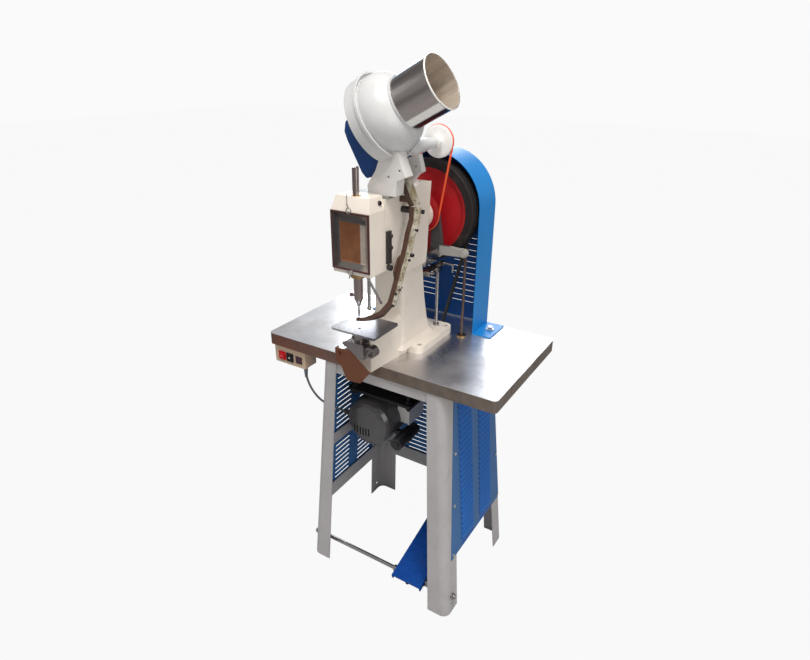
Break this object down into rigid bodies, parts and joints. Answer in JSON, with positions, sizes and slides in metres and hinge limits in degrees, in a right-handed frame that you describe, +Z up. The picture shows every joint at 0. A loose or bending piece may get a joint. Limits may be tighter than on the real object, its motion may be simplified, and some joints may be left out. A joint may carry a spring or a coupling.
{
  "type": "eyelet machine",
  "caption": "Floor-standing eyelet press: tilted hopper and swinging raceway feed a ram head above a steel table, with a belt-driven flywheel, arched guard and foot pedal.",
  "frame": {"origin": "on the floor, under the centre of the table's box (the machine's own mid-plane)", "axes": "+Z up; -Y towards the operator, +Y to the belt guard at the back; +X to the operator's right"},
  "size_m": [0.717, 0.482, 1.4901],
  "materials": {
    "stand_paint": "satin",
    "panel_blue": "satin",
    "guard_blue": "gloss",
    "pedal_blue": "satin",
    "gear_cover_blue": "satin",
    "stainless_sheet": "brushed",
    "drum_stainless": "polished",
    "tray_stainless": "polished",
    "board": "plain",
    "cream_paint": "gloss",
    "turned_steel": "turned",
    "tool_steel": "ground",
    "zinc_screws": "bright",
    "bronze": "plain",
    "strip_brass": "plain",
    "race_brown": "satin",
    "bracket_black": "satin",
    "lever_iron": "painted",
    "rod_copper": "plain",
    "rubber_black": "matt",
    "belt_orange": "gloss",
    "flywheel_red": "gloss",
    "rim_black": "painted",
    "motor_grey": "gloss",
    "box_grey": "satin",
    "can_black": "gloss",
    "plate_black": "satin",
    "switch_beige": "satin",
    "button_red": "gloss",
    "button_black": "gloss",
    "cord_grey": "matt",
    "white_paint": "gloss",
    "rotor_aluminium": "satin"
  },
  "bodies": {
    "stand": {"back_panel": "panel_blue", "bearing_bushes": "bronze", "belt_guard": "guard_blue", "belt_guard_back": "guard_blue", "cord_belt": "belt_orange", "cover_clips": "zinc_screws", "die_post": "turned_steel", "front_cover": "tray_stainless", "gear_cover": "gear_cover_blue", "guide_rod": "turned_steel", "head_block": "cream_paint", "hopper_bracket": "cream_paint", "hopper_drum": "drum_stainless", "hopper_housing": "cream_paint", "hopper_lid": "cream_paint", "leg_back_left": "stand_paint", "leg_back_right": "stand_paint", "leg_front_left": "stand_paint", "leg_front_right": "stand_paint", "lever_pin_block": "turned_steel", "machine_bolts": "zinc_screws", "machine_frame": "cream_paint", "motor_body": "motor_grey", "motor_capacitor": "can_black", "motor_cord": "cord_grey", "motor_end_cover": "motor_grey", "motor_plate": "plate_black", "panel_screws": "zinc_screws", "pedal_shaft": "turned_steel", "raceway_bracket": "bracket_black", "raceway_top_strip": "strip_brass", "raceway_upper": "race_brown", "scrap_chute": "tray_stainless", "side_panel_left": "panel_blue", "side_panel_right": "panel_blue", "stand_rails": "stand_paint", "stop_post": "turned_steel", "switch_box": "switch_beige", "table_board": "board", "table_cover": "stainless_sheet", "terminal_box": "box_grey", "v_belt": "rubber_black", "work_plate": "stainless_sheet"},
    "pedal": {"pedal": "pedal_blue", "pedal_bumper": "rubber_black"},
    "trip_rod": {"trip_rod": "rod_copper"},
    "clutch_lever": {"clutch_lever": "lever_iron"},
    "stop_button": {"stop_button": "button_red"},
    "start_button": {"start_button": "button_black"},
    "main_shaft": {"main_shaft": "turned_steel"},
    "flywheel": {"flywheel": "flywheel_red", "flywheel_rim": "rim_black"},
    "motor_rotor": {"motor_rotor": "turned_steel"},
    "hopper_pulley": {"hopper_pulley": "white_paint"},
    "hopper_rotor": {"hopper_rotor": "rotor_aluminium"},
    "ram": {"ram": "turned_steel", "punch": "tool_steel"},
    "connecting_rod": {"connecting_rod": "turned_steel"},
    "raceway_lower": {"raceway_lower": "race_brown", "raceway_strip": "strip_brass"}
  },
  "joints": [
    {"name": "pedal_hinge", "type": "hinge", "parent": "stand", "child": "pedal", "pos_m": [0.133, -0.16, 0.062], "axis": [-1, 0, 0], "range_deg": [0, 4.06], "stiffness_Nm_per_rad": 100, "springref_deg": -2.86},
    {"name": "trip_rod_slide", "type": "slide", "parent": "stand", "child": "trip_rod", "axis": [0, 0, -1], "range_m": [0, 0.0196]},
    {"name": "clutch_lever_hinge", "type": "hinge", "parent": "stand", "child": "clutch_lever", "pos_m": [0.041, 0.1035, 0.99], "axis": [0, 1, 0], "range_deg": [0, 13.5]},
    {"name": "stop_button_press", "type": "slide", "parent": "stand", "child": "stop_button", "axis": [0, 1, 0], "range_m": [0, 0.003], "stiffness_N_per_m": 600, "springref_m": -0.002},
    {"name": "start_button_press", "type": "slide", "parent": "stand", "child": "start_button", "axis": [0, 1, 0], "range_m": [0, 0.003], "stiffness_N_per_m": 600, "springref_m": -0.002},
    {"name": "main_shaft_spin", "type": "hinge", "parent": "stand", "child": "main_shaft", "pos_m": [0, 0, 1.098], "axis": [0, 1, 0], "continuous": true},
    {"name": "flywheel_spin", "type": "hinge", "parent": "stand", "child": "flywheel", "pos_m": [0, 0.141, 1.098], "axis": [0, 1, 0], "continuous": true},
    {"name": "motor_rotor_spin", "type": "hinge", "parent": "stand", "child": "motor_rotor", "pos_m": [-0.057, 0, 0.508], "axis": [0, 1, 0], "continuous": true},
    {"name": "hopper_pulley_spin", "type": "hinge", "parent": "stand", "child": "hopper_pulley", "pos_m": [0.044, 0.093, 1.286], "axis": [0, 1, 0], "continuous": true},
    {"name": "hopper_rotor_spin", "type": "hinge", "parent": "stand", "child": "hopper_rotor", "pos_m": [-0.0032, -0.123, 1.3468], "axis": [0.8829, 0, 0.4695], "continuous": true},
    {"name": "ram_slide", "type": "slide", "parent": "stand", "child": "ram", "axis": [0, 0, -1], "range_m": [0, 0.028]},
    {"name": "connecting_rod_hinge", "type": "hinge", "parent": "ram", "child": "connecting_rod", "pos_m": [0, -0.193, 1.072], "axis": [0, 1, 0], "range_deg": [-9, 9]},
    {"name": "raceway_hinge", "type": "hinge", "parent": "stand", "child": "raceway_lower", "pos_m": [0.083, -0.098, 1.152], "axis": [1, 0, 0], "range_deg": [0, 5], "stiffness_Nm_per_rad": 5, "springref_deg": -5.73}
  ],
  "couplings": [
    {"joint": "trip_rod_slide", "follows": "pedal_hinge", "m_per_rad": 0.275},
    {"joint": "clutch_lever_hinge", "follows": "pedal_hinge", "ratio": 3.2934},
    {"joint": "motor_rotor_spin", "follows": "flywheel_spin", "ratio": 3.7429},
    {"joint": "hopper_pulley_spin", "follows": "flywheel_spin", "ratio": 1.25},
    {"joint": "hopper_rotor_spin", "follows": "flywheel_spin", "ratio": -0.37891}
  ]
}
